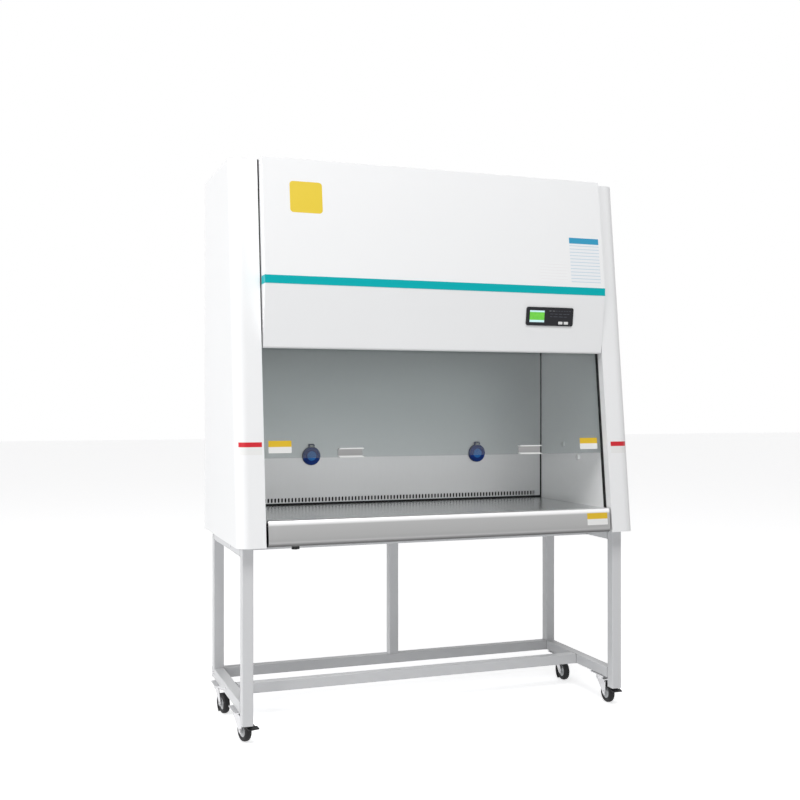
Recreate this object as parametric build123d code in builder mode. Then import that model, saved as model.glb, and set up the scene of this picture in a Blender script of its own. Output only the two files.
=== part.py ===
from build123d import *
import os
from math import cos, hypot, radians, sin

os.makedirs("parts", exist_ok=True)

# Biosafety cabinet with a leaning front, on a square-tube stand with four swivel casters.
# Millimetres. X runs to the user's right, Y to the back and Z up; the floor is Z = 0.

# Cabinet casing
overall_width = 1500.0
overall_depth = 640.0
overall_height = 1986.0
base_depth = 85.0                # underside of the cabinet below the work surface
slope_setback = 150.0            # lean of the front over the cabinet's height
column_width = 96.0              # each side casing, seen from the front
column_corner_radius = 40.0
sheet = 1.5
column_return = 33.0             # how far the casing turns back beside the opening

# Work chamber
chamber_side_gap = 4.0           # chamber wall behind the edge of the opening
work_height = 753.0              # top of the work surface
chamber_height = 650.0
baffle_back_gap = 78.0           # return air duct behind the rear baffle
baffle_side_gap = 7.0
baffle_skirt = 53.0              # baffle below the work surface
side_wall_rise = 97.0            # side wall above the air diffuser
ledge_width = 15.0

# Rear return slots
slot_width = 7.0
slot_length = 17.0
slot_pitch = 13.5
slot_rise = 19.0                 # slot centres above the work surface
slot_margin = 20.0               # least blank strip at each end of the row

# Front air intake and fascia
fascia_side_gap = 8.0
fascia_top_rise = 4.0            # fascia top above the work surface
fascia_depth = 36.0
fascia_foot_radius = 18.0
fascia_top_radius = 10.0
fascia_lip = 12.0
grille_depth = 32.0
grille_flange = 14.0
grille_slot_length = 58.0
grille_slot_width = 9.0
grille_slot_pitch = 68.0
fit_gap = 0.3                    # between pieces that lift out or pass each other
tray_flange = 20.0

# Sash
sash_front = 36.5                # glass behind the sloped front
sash_thickness = 5.0
sash_opening = 208.0             # lower edge of the glass above the work surface, at rest
sash_length = 604.0
guide_depth = 12.0
guide_width = 12.0
guide_reveal = 1.0               # guide standing into the opening
guide_top_margin = 30.0
glass_edge_cover = 7.0
handle_spacing = 688.0
handle_width = 88.0
handle_height = 32.0
handle_reach = 22.0
handle_wall = 3.0
counterweight_width = 50.0
counterweight_depth = 40.0
counterweight_height = 340.0
counterweight_bottom = 1250.0
counterweight_setback = 260.0

# Front access panel
panel_gap = 5.5                  # between the panel and each side casing
panel_top_depth = 97.0
ridge_depth = 45.0
ridge_bottom = 1550.0
ridge_height = 28.0
panel_bottom = 1334.0
panel_bottom_depth = 75.0
panel_foot_return = 20.0
panel_foot_radius = 8.0
panel_bend_radius = 3.0
stripe_thickness = 0.8

# Display on the front access panel
display_inset = 227.0            # display centre from the panel's right edge
display_width = 193.0
display_height = 68.0
display_drop = 84.0              # display centre below the ridge, along the panel
display_thickness = 4.0
display_corner = 8.0
screen_x = -53.0
screen_width = 60.0
screen_height = 43.0
screen_thickness = 1.5
button_width = 17.0
button_height = 10.0
button_drop = -22.5
button_x = (44.0, 67.0)
button_proud = 2.0
button_travel = 1.5

# Air handling
filter_height = 68.0
filter_side_gap = 40.0
filter_back_gap = 8.3505          # supply filter in front of the baffle
filter_frame = 20.0
filter_recess = 4.0
diffuser_setback = 60.0          # diffuser front edge behind the sloped front
diffuser_overrun = 36.0          # diffuser past the baffle
diffuser_slot_length = 84.0
diffuser_slot_width = 14.0
diffuser_slot_pitch = (100.0, 70.0)
diffuser_slot_margin = 50.0
diffuser_slot_rows = 5
plenum_height = 87.0
plenum_inset = 4.0
blower_share = 0.2               # blower off centre, as a share of the chamber's width
blower_back_gap = 260.0
scroll_radius = 160.0
scroll_width = 230.0
scroll_wall = 2.0
scroll_lift = 2.0
outlet_depth = 140.0
inlet_radius = 95.0
wheel_radius = 120.0
wheel_width = 200.0
blade_count = 30
blade_depth = 24.0
blade_thickness = 1.5
wheel_disc = 4.0
motor_radius = 48.0
motor_length = 80.0
shaft_radius = 8.0
bracket_bar = 20.0
bracket_thickness = 4.0
exhaust_side_gap = 354.0         # exhaust centre from the edge of the opening
exhaust_width = 480.0
exhaust_depth_margin = 160.0     # flat of the top before and behind the exhaust, together
exhaust_back_gap = 240.0         # exhaust centre from the back
exhaust_margin = 20.0
exhaust_filter_height = 75.0
guard_slot_length = 60.0
guard_slot_width = 12.0
guard_slot_counts = (6, 12)

# Chamber fittings
lamp_radius = 13.0
lamp_end_gap = 32.0
lamp_setback = 90.0              # lamp axis behind the sloped front
lamp_drop = 26.0                 # lamp axis below the diffuser
holder_height = 42.0
holder_depth = 30.0
socket_share = 0.27              # sockets off centre, as a share of the chamber's width
socket_height = 942.0
socket_radius = 36.0
socket_flange = 6.0
socket_body_radius = 26.0
socket_body_length = 34.0
socket_bore_radius = 20.0
lid_radius = 33.0
lid_thickness = 5.0
lid_boss_radius = 17.0
lid_boss_height = 4.0
hinge_rise = 40.0
hinge_pin_radius = 1.5
hinge_barrel_radius = 3.0
hinge_barrel_length = 14.0
ear_width = 4.0
running_fit = 0.05
plug_radius = 11.0
plug_proud = 9.0
plug_places = ((369.0, 982.0), (247.0, 935.5))   # depth behind the foot of the front, height
drain_side_gap = 114.0           # drain from the chamber wall
drain_depth = 78.0
drain_knob_radius = 9.0
drain_knob_height = 12.0
drain_stem_radius = 5.0
drain_stem_drop = 6.0

# Stand
tube = 38.0
tube_wall = 2.0
tube_corner = 3.0
leg_inset = 26.0                 # outer face of the legs inside the casing's side
front_leg_depth = 54.0           # front leg behind the foot of the front
rear_leg_inset = 17.0
foot_height = 70.0
lower_rail_top = 141.0
lower_cross_depth = 349.0
upper_cross_depth = 262.0

# Casters
caster_inset = 40.0              # from the casing's side
front_caster_depth = 166.0       # behind the foot of the front
rear_caster_gap = 122.0          # from the back
caster_headings = {"front_left": 13.9, "front_right": -1.0, "rear_left": 8.0, "rear_right": -1.0}
wheel_axle_height = 37.5
tyre_width = 24.0
tyre_crown = 4.5                 # rise of the tread across its width
rim_radius = 28.0
rim_lip_radius = 26.0
rim_half_width = 10.5
rim_step = 3.0
web_radius = 21.0
web_half_width = 5.0
web_foot = 2.0
hub_radius = 10.0
caster_trail = 38.0
caster_plate_width = 60.0
caster_plate_length = 90.0
caster_plate_thickness = 3.0
caster_plate_corner = 4.0
swivel_radius = 25.0
swivel_height = 10.0
fork_crown = 5.7
fork_gap = 28.0
fork_wall = 2.5
fork_crown_length = 40.0
fork_eye_radius = 10.0
kingpin_radius = 5.0
kingpin_overhang = 6.0          # kingpin end below the fork's crown
axle_radius = 4.0
axle_head_radius = 7.0
axle_head_height = 3.0
pedal_pivot = (44.0, 80.0)       # trail and height of the brake pedal's pin
pedal_pin_radius = 2.5
pedal_boss_radius = 4.5
pedal_width = 26.0
pedal_tread_width = 40.0
# Side views of the pedal's arm and tread: forward of the pin and below it
pedal_arm = ((0.0, -4.0), (18.0, 0.0), (29.0, 12.0), (68.0, 22.0),
             (68.0, 25.0), (29.0, 15.0), (17.0, 4.0), (0.0, 0.0))
pedal_tread = ((48.5, 17.0), (68.0, 22.0), (68.0, 25.0), (48.5, 20.0))

# Derived places
front = -overall_depth / 2
back = overall_depth / 2
side = overall_width / 2
opening_half = side - column_width
chamber_half = opening_half - chamber_side_gap
chamber_width = 2 * chamber_half
base_height = work_height - base_depth
cabinet_height = overall_height - base_height
slope_direction = Vector(0, slope_setback, cabinet_height)
diffuser_bottom = work_height + chamber_height
diffuser_top = diffuser_bottom + sheet
baffle_y = back - baffle_back_gap
fascia_top = work_height + fascia_top_rise
socket_x = socket_share * chamber_width
drain_x = drain_side_gap - chamber_half
caster_x = side - caster_inset


def slope_y(height):
    # Y of the leaning front at a height
    return front + slope_setback * (height - base_height) / cabinet_height


def slab(low, high, near, far):
    # corners in a YZ sketch of a slab between two depths behind the leaning front
    return [
        (slope_y(low) + near, low),
        (slope_y(low) + far, low),
        (slope_y(high) + far, high),
        (slope_y(high) + near, high),
    ]


def facing_user(y):
    # sketch plane at depth y that looks towards the user: X across, Z up
    return Plane.XZ.offset(-y)


def save(builder, name):
    builder.part.label = name
    export_step(builder.part, f"parts/{name}.step")


# ---------------------------------------------------------------- stand

tube_centre_x = side - leg_inset - tube / 2
front_leg_y = front + front_leg_depth + tube / 2
rear_leg_y = back - rear_leg_inset - tube / 2
leg_back_y = front_leg_y + tube / 2
rear_leg_front_y = rear_leg_y - tube / 2
lower_rail_z = lower_rail_top - tube / 2
upper_rail_z = base_height - tube / 2
inner_rail_x = tube_centre_x - tube / 2
leg_span = rear_leg_front_y - leg_back_y


def upright(x, y, bottom):
    return Plane(origin=(x, y, bottom), z_dir=(0, 0, 1))


def lengthwise(x, y, height):
    return Plane(origin=(x, y, height), x_dir=(1, 0, 0), z_dir=(0, 1, 0))


def crosswise(x, y, height):
    return Plane(origin=(x, y, height), x_dir=(0, 1, 0), z_dir=(1, 0, 0))


tube_runs = {}
for name, sign in (("left", -1), ("right", 1)):
    x = sign * tube_centre_x
    tube_runs[f"leg_front_{name}"] = (upright(x, front_leg_y, foot_height), base_height - foot_height)
    tube_runs[f"leg_rear_{name}"] = (upright(x, rear_leg_y, lower_rail_top), base_height - lower_rail_top)
    tube_runs[f"upper_rail_{name}"] = (lengthwise(x, leg_back_y, upper_rail_z), leg_span)
    tube_runs[f"lower_rail_{name}"] = (lengthwise(x, leg_back_y, lower_rail_z), leg_span + tube)
for name, y, height in (
    ("lower_rail_front", front + lower_cross_depth, lower_rail_z),
    ("lower_rail_rear", rear_leg_y, lower_rail_z),
    ("upper_rail_middle", front + upper_cross_depth, upper_rail_z),
    ("upper_rail_rear", rear_leg_y, upper_rail_z),
):
    tube_runs[name] = (crosswise(-inner_rail_x, y, height), 2 * inner_rail_x)
tube_runs["rear_post"] = (upright(0, rear_leg_y, lower_rail_top), base_height - tube - lower_rail_top)

for name, (plane, length) in tube_runs.items():
    with BuildPart() as stand_tube:
        with BuildSketch(plane):
            RectangleRounded(tube, tube, tube_corner)
            RectangleRounded(tube - 2 * tube_wall, tube - 2 * tube_wall, tube_corner - tube_wall,
                             mode=Mode.SUBTRACT)
        extrude(amount=length)
    save(stand_tube, name)

# ---------------------------------------------------------------- casters

caster_top = lower_rail_top - tube
plate_bottom = caster_top - caster_plate_thickness
swivel_bottom = plate_bottom - swivel_height
crown_top = swivel_bottom - fit_gap
crown_bottom = crown_top - fork_crown
kingpin_bottom = crown_bottom - kingpin_overhang


def caster_plane(name):
    # at floor level under the swivel; the wheel trails towards the plane's -Y
    x = caster_x if name.endswith("right") else -caster_x
    y = front + front_caster_depth if name.startswith("front") else back - rear_caster_gap
    turn = radians(caster_headings[name])
    return Plane(origin=(x, y, 0), x_dir=(cos(turn), sin(turn), 0), z_dir=(0, 0, 1))


def level(plane, height):
    return Plane(origin=plane.from_local_coords((0, 0, height)), x_dir=plane.x_dir, z_dir=plane.z_dir)


def beside(plane, offset):
    # upright plane along the caster, so that the sketch's X is the caster's Y
    return Plane(origin=plane.from_local_coords((offset, 0, 0)), x_dir=plane.y_dir, z_dir=plane.x_dir)


with BuildPart() as caster_plates:
    for name in caster_headings:
        plane = caster_plane(name)
        upright_plate = Plane(origin=plane.origin)
        with BuildSketch(level(upright_plate, plate_bottom)):
            RectangleRounded(caster_plate_width, caster_plate_length, caster_plate_corner)
        extrude(amount=caster_plate_thickness)
        with BuildSketch(level(plane, swivel_bottom)):
            Circle(swivel_radius)
        extrude(amount=swivel_height)
        with BuildSketch(level(plane, kingpin_bottom)):
            Circle(kingpin_radius)
        extrude(amount=swivel_bottom - kingpin_bottom)
save(caster_plates, "caster_plates")

for name in caster_headings:
    plane = caster_plane(name)
    braked = name.startswith("front")
    axle_y = -caster_trail

    with BuildPart() as fork:
        with BuildSketch(level(plane, crown_bottom)):
            Circle(swivel_radius)
            Circle(kingpin_radius + running_fit, mode=Mode.SUBTRACT)
        extrude(amount=fork_crown)
        for sign in (-1, 1):
            inner = sign * fork_gap / 2
            with BuildSketch(beside(plane, inner)):
                with Locations((axle_y, wheel_axle_height)):
                    Circle(fork_eye_radius)
                with Locations((0, crown_top - fork_crown / 2)):
                    Rectangle(fork_crown_length, fork_crown)
                if braked:
                    with Locations((-pedal_pivot[0], pedal_pivot[1])):
                        Circle(pedal_boss_radius)
                make_hull()
            extrude(amount=sign * fork_wall)
        with BuildSketch(beside(plane, -fork_gap / 2 - fork_wall)):
            with Locations((axle_y, wheel_axle_height)):
                Circle(axle_radius)
        extrude(amount=fork_gap + 2 * fork_wall)
        for sign in (-1, 1):
            with BuildSketch(beside(plane, sign * (fork_gap / 2 + fork_wall))):
                with Locations((axle_y, wheel_axle_height)):
                    RegularPolygon(axle_head_radius, 6)
            extrude(amount=sign * axle_head_height)
        if braked:
            with BuildSketch(beside(plane, -fork_gap)):
                with Locations((-pedal_pivot[0], pedal_pivot[1])):
                    Circle(pedal_pin_radius + running_fit)
            extrude(amount=2 * fork_gap, mode=Mode.SUBTRACT)
    save(fork, f"fork_{name}")

    hub_centre = plane.from_local_coords((0, axle_y, wheel_axle_height))
    with BuildPart() as wheel:
        with BuildSketch(Plane(origin=hub_centre, x_dir=plane.x_dir, z_dir=plane.y_dir)):
            with BuildLine():
                hub_half = fork_gap / 2 - fit_gap
                bore = axle_radius + running_fit
                half = tyre_width / 2
                shoulder = wheel_axle_height - tyre_crown
                right_profile = [
                    (hub_half, bore), (hub_half, hub_radius), (web_half_width, hub_radius + web_foot),
                    (web_half_width, web_radius), (rim_half_width, rim_lip_radius - rim_step),
                    (rim_half_width, rim_lip_radius), (half, rim_radius), (half, shoulder),
                ]
                left_profile = [(-x, radius) for x, radius in reversed(right_profile)]
                Polyline(*left_profile, *right_profile)
                ThreePointArc((half, shoulder), (0, wheel_axle_height), (-half, shoulder))
            make_face()
        revolve(axis=Axis(hub_centre, plane.x_dir))
    save(wheel, f"wheel_{name}")

    if braked:
        with BuildPart() as pedal:
            pivot_y, pivot_z = -pedal_pivot[0], pedal_pivot[1]
            with BuildSketch(beside(plane, -pedal_width / 2)):
                with Locations((pivot_y, pivot_z)):
                    Circle(pedal_boss_radius)
                Polygon(*[(pivot_y - ahead, pivot_z - below) for ahead, below in pedal_arm], align=None)
            extrude(amount=pedal_width)
            with BuildSketch(beside(plane, -pedal_tread_width / 2)):
                Polygon(*[(pivot_y - ahead, pivot_z - below) for ahead, below in pedal_tread], align=None)
            extrude(amount=pedal_tread_width)
            with BuildSketch(beside(plane, -fork_gap / 2 - fork_wall)):
                with Locations((pivot_y, pivot_z)):
                    Circle(pedal_pin_radius)
            extrude(amount=fork_gap + 2 * fork_wall)
        save(pedal, f"brake_pedal_{name}")

# ---------------------------------------------------------------- casing


def column_outline(inset):
    # plan of the left side casing; the back is left long and trimmed after the sloped extrusion
    inner_x = -opening_half - inset
    outer_x = -side + inset
    near_y = front + inset
    far_y = back + slope_setback
    arc_centre = (-side + column_corner_radius, front + column_corner_radius)
    with BuildLine() as outline:
        Polyline((outer_x, arc_centre[1]), (outer_x, far_y), (inner_x, far_y), (inner_x, near_y),
                 (arc_centre[0], near_y))
        CenterArc(arc_centre, column_corner_radius - inset, 180, 90)
    make_face(outline.edges())


slope_length = hypot(slope_setback, cabinet_height)

with BuildPart() as column_hollow:
    with BuildSketch(Plane.XY.offset(base_height)):
        column_outline(sheet)
    extrude(dir=slope_direction, amount=slope_length)
    split(bisect_by=facing_user(back - sheet), keep=Keep.TOP)

with BuildPart() as left_side_panel:
    with BuildSketch(Plane.XY.offset(base_height)):
        column_outline(0)
    extrude(dir=slope_direction, amount=slope_length)
    split(bisect_by=facing_user(back), keep=Keep.TOP)
    add(column_hollow.part, mode=Mode.SUBTRACT)
    with BuildSketch(Plane.YZ.offset(-opening_half - sheet)):
        mouth_back = 2 * overall_depth
        Polygon(*slab(base_height, overall_height, column_return, mouth_back), align=None)
        Polygon(*slab(base_height, base_height + sheet, sheet, mouth_back), align=None)
        Polygon(*slab(overall_height - sheet, overall_height, sheet, mouth_back), align=None)
        with Locations((back - sheet, 0)):
            Rectangle(4 * overall_depth, 3 * overall_height, align=(Align.MIN, Align.CENTER),
                      mode=Mode.SUBTRACT)
    extrude(amount=sheet, mode=Mode.SUBTRACT)
save(left_side_panel, "left_side_panel")

with BuildPart() as right_side_panel:
    mirror(left_side_panel.part, about=Plane.YZ)
save(right_side_panel, "right_side_panel")

with BuildPart() as back_panel:
    with BuildSketch(facing_user(back)):
        with Locations((0, base_height)):
            Rectangle(2 * opening_half, cabinet_height, align=(Align.CENTER, Align.MIN))
    extrude(amount=sheet)
save(back_panel, "back_panel")


def plate_outline(front_y, inset):
    # plan of a full-width plate with the casing's rounded front corners
    radius = column_corner_radius - inset
    near_y = front_y + inset
    with BuildLine() as outline:
        Polyline((-side + inset, near_y + radius), (-side + inset, back - inset),
                 (side - inset, back - inset), (side - inset, near_y + radius))
        CenterArc((side - inset - radius, near_y + radius), radius, 0, -90)
        Line((side - inset - radius, near_y), (-side + inset + radius, near_y))
        CenterArc((-side + inset + radius, near_y + radius), radius, 180, 90)
    make_face(outline.edges())


with BuildPart() as base_pan:
    with BuildSketch(Plane.XY.offset(base_height)):
        plate_outline(slope_y(base_height + sheet), sheet)
        with Locations((0, front)):
            Rectangle(2 * opening_half, fascia_depth, align=(Align.CENTER, Align.MIN), mode=Mode.SUBTRACT)
        with Locations((drain_x, front + drain_depth)):
            Circle(drain_stem_radius + running_fit, mode=Mode.SUBTRACT)
    extrude(amount=sheet)
save(base_pan, "base_pan")

exhaust_x = opening_half - exhaust_side_gap
exhaust_y = back - exhaust_back_gap
exhaust_depth = overall_depth - slope_setback - exhaust_depth_margin
with BuildPart() as top_panel:
    with BuildSketch(Plane.XY.offset(overall_height - sheet)):
        plate_outline(slope_y(overall_height), sheet)
        with Locations((exhaust_x, exhaust_y)):
            Rectangle(exhaust_width, exhaust_depth, mode=Mode.SUBTRACT)
    extrude(amount=sheet)
save(top_panel, "top_panel")

# ---------------------------------------------------------------- work chamber

wall_top = diffuser_top + side_wall_rise
wall_front = column_return + guide_depth
wall_foot = base_height + sheet
grille_front = front + fascia_depth
tray_front = grille_front + grille_depth
tray_depth = baffle_y - fit_gap - tray_front


def chamber_wall(x, direction):
    with BuildPart() as wall:
        with BuildSketch(Plane.YZ.offset(x)):
            with BuildLine():
                Polyline((slope_y(wall_foot) + wall_front, wall_foot), (back - sheet, wall_foot),
                         (back - sheet, wall_top), (slope_y(wall_top) + wall_front, wall_top), close=True)
            make_face()
        extrude(amount=direction * sheet)
        with BuildSketch(Plane.YZ.offset(x)):
            with Locations((tray_front, work_height - tray_flange)):
                Rectangle(tray_depth, sheet, align=(Align.MIN, Align.MAX))
        extrude(amount=-direction * ledge_width)
    return wall


save(chamber_wall(-chamber_half, -1), "chamber_left_wall")
right_wall = chamber_wall(chamber_half, 1)
save(right_wall, "chamber_right_wall")

baffle_width = chamber_width - 2 * baffle_side_gap
slot_count = int((baffle_width - 2 * slot_margin) / slot_pitch)
with BuildPart() as chamber_back_wall:
    with BuildSketch(facing_user(baffle_y)):
        bottom = work_height - baffle_skirt
        with Locations((0, bottom)):
            Rectangle(baffle_width, diffuser_bottom - bottom, align=(Align.CENTER, Align.MIN))
        with Locations((0, work_height + slot_rise)):
            with GridLocations(slot_pitch, 0, slot_count, 1):
                SlotOverall(slot_length, slot_width, rotation=90, mode=Mode.SUBTRACT)
        with Locations((-socket_x, socket_height), (socket_x, socket_height)):
            Circle(socket_body_radius + running_fit, mode=Mode.SUBTRACT)
    extrude(amount=-sheet)
save(chamber_back_wall, "chamber_back_wall")

with BuildPart() as work_surface:
    with BuildSketch(Plane.XY.offset(work_height)):
        with Locations((0, tray_front)):
            Rectangle(chamber_width - 2 * fit_gap, tray_depth, align=(Align.CENTER, Align.MIN))
    extrude(amount=-tray_flange)
    fillet(work_surface.edges().filter_by(Axis.Z), radius=2 * sheet)
    tray_floor = work_surface.faces().sort_by(Axis.Z)[0]
    offset(amount=-sheet, openings=tray_floor)
save(work_surface, "work_surface")

grille_slot_count = int(chamber_width / grille_slot_pitch)
with BuildPart() as intake_grille:
    with BuildSketch(Plane.XY.offset(work_height)):
        with Locations((0, grille_front)):
            Rectangle(chamber_width - 2 * fit_gap, grille_depth, align=(Align.CENTER, Align.MIN))
    extrude(amount=-grille_flange)
    with BuildSketch(Plane.XY.offset(work_height - sheet)):
        with Locations((0, grille_front + sheet)):
            Rectangle(chamber_width, grille_depth - 2 * sheet, align=(Align.CENTER, Align.MIN))
    extrude(amount=-grille_flange, mode=Mode.SUBTRACT)
    with BuildSketch(Plane.XY.offset(work_height)):
        with Locations((0, grille_front + grille_depth / 2)):
            with GridLocations(grille_slot_pitch, 0, grille_slot_count, 1):
                SlotOverall(grille_slot_length, grille_slot_width)
    extrude(amount=-sheet, mode=Mode.SUBTRACT)
save(intake_grille, "intake_grille")

fascia_half = opening_half - fascia_side_gap
with BuildPart() as front_fascia:
    with BuildSketch(Plane.YZ.offset(-fascia_half)) as fascia_section:
        foot = (front, base_height)
        brow = (slope_y(fascia_top), fascia_top)
        heel = (front + fascia_depth, base_height)
        crown = (front + fascia_depth, fascia_top)
        Polygon(heel, foot, brow, crown, align=None)
        fillet(fascia_section.vertices().sort_by_distance(foot)[0], radius=fascia_foot_radius)
        fillet(fascia_section.vertices().sort_by_distance(brow)[0:1], radius=fascia_top_radius)
        offset(amount=-sheet, mode=Mode.SUBTRACT)
        with Locations((front + fascia_depth, base_height + sheet)):
            Rectangle(2 * sheet, fascia_top - fascia_lip - base_height - sheet,
                      align=(Align.MAX, Align.MIN), mode=Mode.SUBTRACT)
    extrude(amount=2 * fascia_half)
save(front_fascia, "front_fascia")

diffuser_front = slope_y(diffuser_bottom) + diffuser_setback
diffuser_depth = baffle_y + diffuser_overrun - diffuser_front
filter_front = diffuser_front + filter_frame
supply_filter_depth = baffle_y - filter_back_gap - filter_front
supply_filter_width = chamber_width - 2 * filter_side_gap
filter_y = filter_front + supply_filter_depth / 2
diffuser_slot_columns = int((chamber_width - 2 * diffuser_slot_margin) / diffuser_slot_pitch[0])
with BuildPart() as air_diffuser:
    with BuildSketch(Plane.XY.offset(diffuser_bottom)):
        with Locations((0, diffuser_front)):
            Rectangle(chamber_width, diffuser_depth, align=(Align.CENTER, Align.MIN))
        with Locations((0, filter_y)):
            with GridLocations(*diffuser_slot_pitch, diffuser_slot_columns, diffuser_slot_rows):
                SlotOverall(diffuser_slot_length, diffuser_slot_width, mode=Mode.SUBTRACT)
    extrude(amount=sheet)
save(air_diffuser, "air_diffuser")

# ---------------------------------------------------------------- air handling


def filter_block(centre, width, depth, height):
    # framed filter with its pleat pack set back from both faces
    with BuildPart() as block:
        with BuildSketch(Plane(origin=centre)):
            Rectangle(width, depth)
        extrude(amount=height)
        for face_height, sign in ((height, -1), (0, 1)):
            with BuildSketch(Plane(origin=centre).offset(face_height)):
                Rectangle(width - 2 * filter_frame, depth - 2 * filter_frame)
            extrude(amount=sign * filter_recess, mode=Mode.SUBTRACT)
    return block


filter_origin = (0, filter_y, diffuser_top)
save(filter_block(filter_origin, supply_filter_width, supply_filter_depth, filter_height), "supply_filter")

plenum_bottom = diffuser_top + filter_height
plenum_top = plenum_bottom + plenum_height
blower_x = -blower_share * chamber_width
blower_y = back - blower_back_gap
outlet_back_y = blower_y - scroll_radius + outlet_depth
with BuildPart() as supply_plenum:
    with BuildSketch(Plane.XY.offset(plenum_bottom)):
        with Locations((0, filter_y)):
            Rectangle(supply_filter_width - 2 * plenum_inset, supply_filter_depth - 2 * plenum_inset)
    extrude(amount=plenum_height)
    plenum_floor = supply_plenum.faces().sort_by(Axis.Z)[0]
    offset(amount=-sheet, openings=plenum_floor)
    with BuildSketch(Plane.XY.offset(plenum_top)):
        with Locations((blower_x, (blower_y - scroll_radius + outlet_back_y) / 2)):
            Rectangle(scroll_width - 2 * scroll_wall, outlet_depth - 2 * scroll_wall)
    extrude(amount=-2 * sheet, mode=Mode.SUBTRACT)
save(supply_plenum, "supply_plenum")

blower_z = plenum_top + scroll_radius + scroll_lift


def scroll_section(inset, foot):
    with Locations((blower_y, blower_z)):
        Circle(scroll_radius - inset)
    with Locations((blower_y - scroll_radius + inset, foot)):
        Rectangle(outlet_depth - 2 * inset, blower_z - foot, align=(Align.MIN, Align.MIN))


with BuildPart() as blower_housing:
    with BuildSketch(Plane.YZ.offset(blower_x - scroll_width / 2)):
        scroll_section(0, plenum_top)
    extrude(amount=scroll_width)
    with BuildSketch(Plane.YZ.offset(blower_x - scroll_width / 2 + scroll_wall)):
        scroll_section(scroll_wall, plenum_top - scroll_wall)
    extrude(amount=scroll_width - 2 * scroll_wall, mode=Mode.SUBTRACT)
    with BuildSketch(Plane.YZ.offset(blower_x - scroll_width)):
        with Locations((blower_y, blower_z)):
            Circle(inlet_radius)
    extrude(amount=2 * scroll_width, mode=Mode.SUBTRACT)
save(blower_housing, "blower_housing")

# The double-inlet wheel: forward-curved blades between two end rings, carried by a centre disc.
wheel_plane = Plane.YZ.offset(blower_x - wheel_width / 2)
blade_inner = wheel_radius - blade_depth
blade_outer = wheel_radius - blade_thickness
blade_bow = blade_depth / 4
blade_middle = wheel_radius - blade_depth / 2
with BuildSketch() as blade_section:
    with BuildLine():
        ThreePointArc((blade_inner, 0), (blade_middle, blade_bow), (blade_outer, blade_bow / 2))
        Line((blade_outer, blade_bow / 2), (blade_outer, blade_bow / 2 + blade_thickness))
        ThreePointArc((blade_outer, blade_bow / 2 + blade_thickness),
                      (blade_middle, blade_bow + blade_thickness), (blade_inner, blade_thickness))
        Line((blade_inner, blade_thickness), (blade_inner, 0))
    make_face()

with BuildPart() as blower_wheel:
    with BuildSketch(wheel_plane):
        with Locations((blower_y, blower_z)):
            with PolarLocations(0, blade_count):
                add(blade_section.sketch)
    extrude(amount=wheel_width)
    for ring_x in (blower_x - wheel_width / 2, blower_x + wheel_width / 2 - wheel_disc):
        with BuildSketch(Plane.YZ.offset(ring_x)):
            with Locations((blower_y, blower_z)):
                Circle(wheel_radius)
                Circle(blade_inner - 1, mode=Mode.SUBTRACT)
        extrude(amount=wheel_disc)
    with BuildSketch(Plane.YZ.offset(blower_x - wheel_disc / 2)):
        with Locations((blower_y, blower_z)):
            Circle(wheel_radius)
    extrude(amount=wheel_disc)
    with BuildSketch(Plane.YZ.offset(blower_x - wheel_disc / 2)):
        with Locations((blower_y, blower_z)):
            Circle(2 * shaft_radius)
    extrude(amount=4 * wheel_disc)
    with BuildSketch(wheel_plane):
        with Locations((blower_y, blower_z)):
            Circle(shaft_radius + running_fit)
    extrude(amount=wheel_width, mode=Mode.SUBTRACT)
save(blower_wheel, "blower_wheel")

with BuildPart() as blower_motor:
    motor_end = blower_x - wheel_disc / 2 - fit_gap
    bracket_x = blower_x - scroll_width / 2
    with BuildSketch(Plane.YZ.offset(motor_end)):
        with Locations((blower_y, blower_z)):
            Circle(motor_radius)
    extrude(amount=-motor_length)
    with BuildSketch(Plane.YZ.offset(bracket_x)):
        with Locations((blower_y, blower_z)):
            Rectangle(2 * inlet_radius + 2 * bracket_bar, bracket_bar)
            Rectangle(bracket_bar, 2 * inlet_radius + 2 * bracket_bar)
            Circle(motor_radius)
    extrude(amount=-bracket_thickness)
    with BuildSketch(Plane.YZ.offset(bracket_x)):
        with Locations((blower_y, blower_z)):
            Circle(motor_radius / 2)
    extrude(amount=motor_end - motor_length - bracket_x)
    with BuildSketch(Plane.YZ.offset(motor_end)):
        with Locations((blower_y, blower_z)):
            Circle(shaft_radius)
    extrude(amount=4 * wheel_disc)
save(blower_motor, "blower_motor")

guard_top = overall_height - sheet
guard_bottom = guard_top - sheet
with BuildPart() as exhaust_guard:
    with BuildSketch(Plane.XY.offset(guard_bottom)):
        with Locations((exhaust_x, exhaust_y)):
            Rectangle(exhaust_width + 2 * exhaust_margin, exhaust_depth + 2 * exhaust_margin)
            with GridLocations(guard_slot_length + guard_slot_width, 2 * guard_slot_width,
                               *guard_slot_counts):
                SlotOverall(guard_slot_length, guard_slot_width, mode=Mode.SUBTRACT)
    extrude(amount=sheet)
save(exhaust_guard, "exhaust_guard")

exhaust_origin = (exhaust_x, exhaust_y, guard_bottom - exhaust_filter_height)
save(filter_block(exhaust_origin, exhaust_width + 2 * exhaust_margin, exhaust_depth + 2 * exhaust_margin,
                  exhaust_filter_height), "exhaust_filter")

# ---------------------------------------------------------------- front access panel

panel_half = opening_half - panel_gap
ridge_top = ridge_bottom + ridge_height
hinge_y = slope_y(overall_height) + sheet - fit_gap
panel_foot = (slope_y(panel_bottom) + panel_foot_return, panel_bottom)
panel_toe = (front + panel_bottom_depth, panel_bottom)
ridge_low = (front + ridge_depth, ridge_bottom)
ridge_high = (front + ridge_depth, ridge_top)
panel_brow = (front + panel_top_depth, overall_height)


def panel_section():
    Polygon((hinge_y, overall_height), panel_brow, ridge_high, ridge_low, panel_toe, panel_foot, align=None)


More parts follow.
